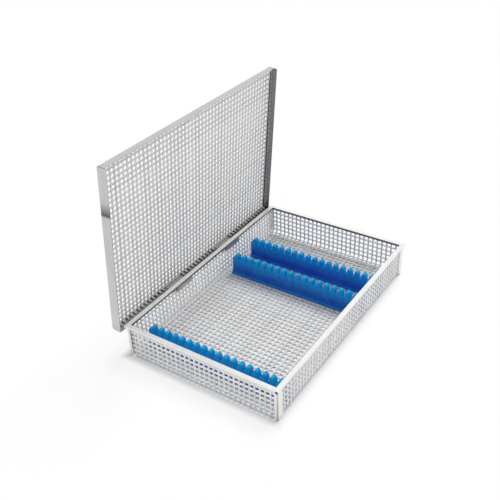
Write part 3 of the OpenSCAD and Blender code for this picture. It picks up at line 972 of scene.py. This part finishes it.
def silicone(tip, body, specks):
    """Cast silicone with painted light: light blue at the tips and on the foot, where the light falls, deep
    blue lower on the face, and painted shade in the grooves, with a soft bloom.
    """
    material, tree, shader = new_material("blue_silicone")
    rise, ridge = kept_value(tree, "rise"), kept_value(tree, "ridge")
    pits = place_group(tree, specks, Scale=900.0, Limit=0.2)
    # Largest share of the other colour on the foot (painted light), in the grooves (painted shade), in the
    # bloom and in the dust
    foot_share, groove_share, bloom_share, dust_share = 0.35, 0.4, 0.22, 0.1
    # Painted light: the blue turns lighter towards the tips, where the light falls
    up = value_range(tree, rise, 0.3, 0.95, 0.0, 1.0)
    painted_top_light = mix_colour(tree, up, (*body, 1.0), (*tip, 1.0))
    # Painted light: the foot is lighter, as if lit
    foot = value_range(tree, rise, 0.13, 0.1, 0.0, foot_share)
    painted_foot_light = mix_colour(tree, foot, painted_top_light, (*tip, 1.0))
    # Painted shade: the grooves below the notches keep the deeper blue
    groove = math_node(tree, "MULTIPLY", value_range(tree, ridge, 0.2, -1.0, 0.0, groove_share), up)
    painted_groove_shade = mix_colour(tree, groove, painted_foot_light, scaled_colour(body, 1.1))
    cloud = value_range(tree, pits["Clouds"], 0.35, 0.7, 0.0, bloom_share)
    bloomed = mix_colour(tree, cloud, painted_groove_shade, scaled_colour(tip, 1.15))
    dust = math_node(tree, "MULTIPLY", pits["Specks"], dust_share)
    dust_colour = (0.35, 0.55, 0.8, 1.0)
    dusted = mix_colour(tree, dust, bloomed, dust_colour)
    finish_surface(tree, shader, dusted, pits["Clouds"], (0.38, 0.56), pits["Clouds"], 0.15)
    shader.inputs["Specular IOR Level"].default_value = 0.2
    return material


finishes = {}


def make_finishes(colours):
    """All finishes, by name."""
    grain, specks = grain_group(), speckle_group()
    fine, coarse = 1100.0, 40.0
    along_x, along_y, along_z = (coarse, fine, fine), (fine, coarse, fine), (fine, fine, coarse)
    # Material, colour, stretch of the lines, roughness, depth of the lines, share of metal, height of a
    # painted reflection
    sheets = {
        "rim": ("rim_steel", colours.rim, along_x, (0.3, 0.42), 0.08, 0.6),
        "strip": ("strip_steel", colours.rim, along_z, (0.25, 0.4), 0.1, 0.6),
        "lengthwise": ("skirt_steel_lengthwise", colours.skirt, along_x, (0.16, 0.3), 0.1),
        "upright": ("skirt_steel_upright", colours.skirt, along_z, (0.16, 0.3), 0.1),
        "marked": ("skirt_steel_marked", colours.skirt, along_z, (0.16, 0.3), 0.1, 1.0, colours.painted_reflection_height),
        "weld": ("weld_steel", colours.weld, along_z, (0.3, 0.5), 0.2, 0.8),
        "fittings": ("fitting_steel", colours.fittings, along_y, (0.45, 0.6), 0.15),
    }
    for key, (name, colour, stretch, *rest) in sheets.items():
        finishes[key] = sheet_steel(name, tuple(colour), grain, specks, stretch, *rest)
    finishes["wire"] = wire_steel("wire_steel", tuple(colours.wire), grain)
    # Painted shade: the same wire in a darker colour, for the lid and the right wall
    finishes["dark wire"] = wire_steel("shaded_wire_steel", tuple(colours.shaded_wire), grain)
    finishes["silicone"] = silicone(tuple(colours.tip), tuple(colours.body), specks)


def seen_directly(tree):
    """1 for rays from the camera and for rays off steel, and 0 for the light that falls on things."""
    path = add_node(tree, "ShaderNodeLightPath")
    seen = math_node(tree, "MAXIMUM", path.outputs["Is Camera Ray"], path.outputs["Is Glossy Ray"])
    return math_node(tree, "MAXIMUM", seen, path.outputs["Is Transmission Ray"])


def floor_paper(settings):
    """Pale paper with a faint cloud in its colour. Outside the tray it also glows where it is seen, so that
    the object's shadow stays soft there."""
    material, tree, shader = new_material("floor_paper")
    colour = tuple(settings.floor)
    place = object_place(tree)
    cloud = add_node(tree, "ShaderNodeTexNoise", {"Vector": place, "Scale": 3.0}).outputs["Fac"]
    clouded = mix_colour(tree, cloud, (*colour, 1.0), scaled_colour(colour, 1.01))
    tree.links.new(clouded, shader.inputs["Base Color"])
    shader.inputs["Roughness"].default_value = 1.0
    shader.inputs["Specular IOR Level"].default_value = 0.0
    fade = 10 * MM
    parts = add_node(tree, "ShaderNodeSeparateXYZ", {0: place}).outputs
    outside = []
    for axis, edge in (("X", BODY_X), ("Y", BODY_Y)):
        distance = math_node(tree, "ABSOLUTE", parts[axis])
        outside.append(value_range(tree, distance, edge, edge + fade, 0.0, settings.glow))
    share = math_node(tree, "MULTIPLY", math_node(tree, "MAXIMUM", *outside), seen_directly(tree))
    glow = add_node(tree, "ShaderNodeEmission", {"Color": (1.0, 1.0, 1.0, 1.0), "Strength": 1.0})
    mixed = add_node(tree, "ShaderNodeMixShader", {0: share, 1: shader.outputs[0], 2: glow.outputs[0]})
    tree.links.new(mixed.outputs[0], tree.nodes["Material Output"].inputs["Surface"])
    return material


def make_floor(settings):
    """A wide flat floor."""
    half = 4.0
    mesh = bpy.data.meshes.new("floor")
    corners = [(-half, -half, 0), (half, -half, 0), (half, half, 0), (-half, half, 0)]
    mesh.from_pydata(corners, [], [(0, 1, 2, 3)])
    mesh.materials.append(floor_paper(settings))
    floor = bpy.data.objects.new("floor", mesh)
    bpy.context.scene.collection.objects.link(floor)


def make_world(ambient):
    """An even world: white where it is seen directly or in steel, and dimmer as light."""
    world = bpy.data.worlds.new("studio")
    world.use_nodes = True
    tree = world.node_tree
    background = tree.nodes["Background"]
    strength = value_range(tree, seen_directly(tree), 0.0, 1.0, ambient, 1.0)
    tree.links.new(strength, background.inputs["Strength"])
    background.inputs["Color"].default_value = (1.0, 1.0, 1.0, 1.0)
    bpy.context.scene.world = world


def make_key(settings):
    """A broad, even key light, which isn't seen in the steel."""
    lamp = bpy.data.lights.new("key", "SUN")
    lamp.energy = settings.key
    lamp.angle = settings.key_spread
    key = bpy.data.objects.new("key", lamp)
    key.rotation_euler = (math.pi / 2 - settings.key_elevation, 0, settings.key_azimuth)
    key.visible_glossy = False
    bpy.context.scene.collection.objects.link(key)


def make_camera(settings):
    """The camera at the photograph's viewing angle."""
    data = bpy.data.cameras.new("camera")
    data.lens = settings.camera_lens
    data.sensor_width = 36
    data.clip_start = 10 * MM
    camera = bpy.data.objects.new("camera", data)
    camera.location = settings.camera_place
    camera.rotation_euler = settings.camera_turn
    bpy.context.scene.collection.objects.link(camera)
    bpy.context.scene.camera = camera


class CASSETTE_OT_finishes(bpy.types.Operator):
    """Makes the materials of the cassette"""

    bl_idname = "cassette.finishes"
    bl_label = "Finishes"

    def execute(self, context):
        make_finishes(context.scene.cassette_colours)
        return {"FINISHED"}


class CASSETTE_OT_tray_mesh(bpy.types.Operator):
    """Makes the mesh of the floor and the four walls of the tray"""

    bl_idname = "cassette.tray_mesh"
    bl_label = "Tray mesh"

    def execute(self, context):
        settings = context.scene.cassette_mesh
        make_tray_floor(settings, finishes["wire"])
        for name, along_x, side in SIDES:
            # The right wall takes the wire with painted shade
            material = finishes["dark wire" if name == "right" else "wire"]
            make_tray_wall(settings, material, name, along_x, side)
        return {"FINISHED"}


class CASSETTE_OT_lid_mesh(bpy.types.Operator):
    """Makes the mesh of the lid"""

    bl_idname = "cassette.lid_mesh"
    bl_label = "Lid mesh"

    def execute(self, context):
        scene = context.scene
        # The lid takes the wire with painted shade
        make_lid_mesh(scene.cassette_mesh, finishes["dark wire"], scene.cassette_sheet.lid_hem)
        return {"FINISHED"}


class CASSETTE_OT_rim(bpy.types.Operator):
    """Folds the four strips of the tray's rim and adds the weld bead at the near corner"""

    bl_idname = "cassette.rim"
    bl_label = "Rim"

    def execute(self, context):
        make_rim(context.scene.cassette_sheet, finishes["rim"])
        make_weld(context.scene.cassette_sheet, finishes["weld"])
        return {"FINISHED"}


class CASSETTE_OT_corner_strips(bpy.types.Operator):
    """Makes the four corner strips of the tray"""

    bl_idname = "cassette.corner_strips"
    bl_label = "Corner strips"

    def execute(self, context):
        settings = context.scene.cassette_sheet
        for name_y, side_y in (("front", -1), ("back", 1)):
            for name_x, side_x in (("left", -1), ("right", 1)):
                make_corner_strip(settings, finishes["strip"], name_x, side_x, name_y, side_y)
        return {"FINISHED"}


class CASSETTE_OT_skirt(bpy.types.Operator):
    """Makes the two side plates, the front strip and the back strip of the lid's skirt"""

    bl_idname = "cassette.skirt"
    bl_label = "Lid skirt"

    def execute(self, context):
        settings = context.scene.cassette_sheet
        # The near plate carries the painted reflection, a soft dark band
        make_side_plate(settings, finishes["marked"], "left", -1)
        make_side_plate(settings, finishes["upright"], "right", 1)
        make_front_strip(settings, finishes["lengthwise"])
        make_back_strip(settings, finishes["lengthwise"])
        return {"FINISHED"}


class CASSETTE_OT_catch_tab(bpy.types.Operator):
    """Makes the catch tab at the front of the lid"""

    bl_idname = "cassette.catch_tab"
    bl_label = "Catch tab"

    def execute(self, context):
        make_catch_tab(context.scene.cassette_sheet, finishes["lengthwise"])
        return {"FINISHED"}


class CASSETTE_OT_fittings(bpy.types.Operator):
    """Finishes the hinges, the backing plates and the rack rails"""

    bl_idname = "cassette.fittings"
    bl_label = "Hinges, plates and rails"

    def execute(self, context):
        for side in ("left", "right"):
            for kind in ("hinge_backing_plate", "tray_hinge_leaf", "hinge_pin", "lid_hinge_leaf"):
                dress(f"{kind}_{side}", finishes["fittings"])
        for place in ("left", "middle", "right"):
            dress("rack_rail_" + place, finishes["fittings"])
        return {"FINISHED"}


class CASSETTE_OT_racks(bpy.types.Operator):
    """Casts the three silicone racks"""

    bl_idname = "cassette.racks"
    bl_label = "Racks"

    def execute(self, context):
        for place in ("left", "middle", "right"):
            make_rack(place, context.scene.cassette_rack, finishes["silicone"])
        return {"FINISHED"}


class CASSETTE_OT_stage(bpy.types.Operator):
    """Sets up the floor, the light and the camera"""

    bl_idname = "cassette.stage"
    bl_label = "Stage"

    def execute(self, context):
        settings = context.scene.cassette_stage
        make_floor(settings)
        make_world(settings.ambient)
        make_key(settings)
        make_camera(settings)
        context.scene.view_settings.view_transform = "Standard"
        return {"FINISHED"}


OPERATORS = (
    CASSETTE_OT_finishes, CASSETTE_OT_tray_mesh, CASSETTE_OT_lid_mesh, CASSETTE_OT_rim,
    CASSETTE_OT_corner_strips, CASSETTE_OT_skirt, CASSETTE_OT_catch_tab, CASSETTE_OT_fittings,
    CASSETTE_OT_racks, CASSETTE_OT_stage)
SETTINGS = {
    "cassette_mesh": CassetteMeshSettings, "cassette_sheet": CassetteSheetSettings,
    "cassette_rack": CassetteRackSettings, "cassette_colours": CassetteColourSettings,
    "cassette_stage": CassetteStageSettings}


class CASSETTE_PT_panel(bpy.types.Panel):
    """Lists the steps that build the cassette and their settings"""

    bl_idname = "CASSETTE_PT_panel"
    bl_label = "Instrument cassette"
    bl_space_type = "VIEW_3D"
    bl_region_type = "UI"
    bl_category = "Cassette"

    def draw(self, context):
        for name, kind in SETTINGS.items():
            box = self.layout.box()
            for field in kind.__annotations__:
                box.prop(getattr(context.scene, name), field)
        for operator in OPERATORS:
            self.layout.operator(operator.bl_idname)


def register():
    for kind in (*SETTINGS.values(), *OPERATORS, CASSETTE_PT_panel):
        bpy.utils.register_class(kind)
    for name, kind in SETTINGS.items():
        setattr(bpy.types.Scene, name, PointerProperty(type=kind))


def unregister():
    for name in SETTINGS:
        delattr(bpy.types.Scene, name)
    for kind in reversed((*SETTINGS.values(), *OPERATORS, CASSETTE_PT_panel)):
        bpy.utils.unregister_class(kind)


def main():
    """Builds everything in order."""
    register()
    for operator in OPERATORS:
        group, name = operator.bl_idname.split(".")
        getattr(getattr(bpy.ops, group), name)()


if __name__ == "__main__":
    main()
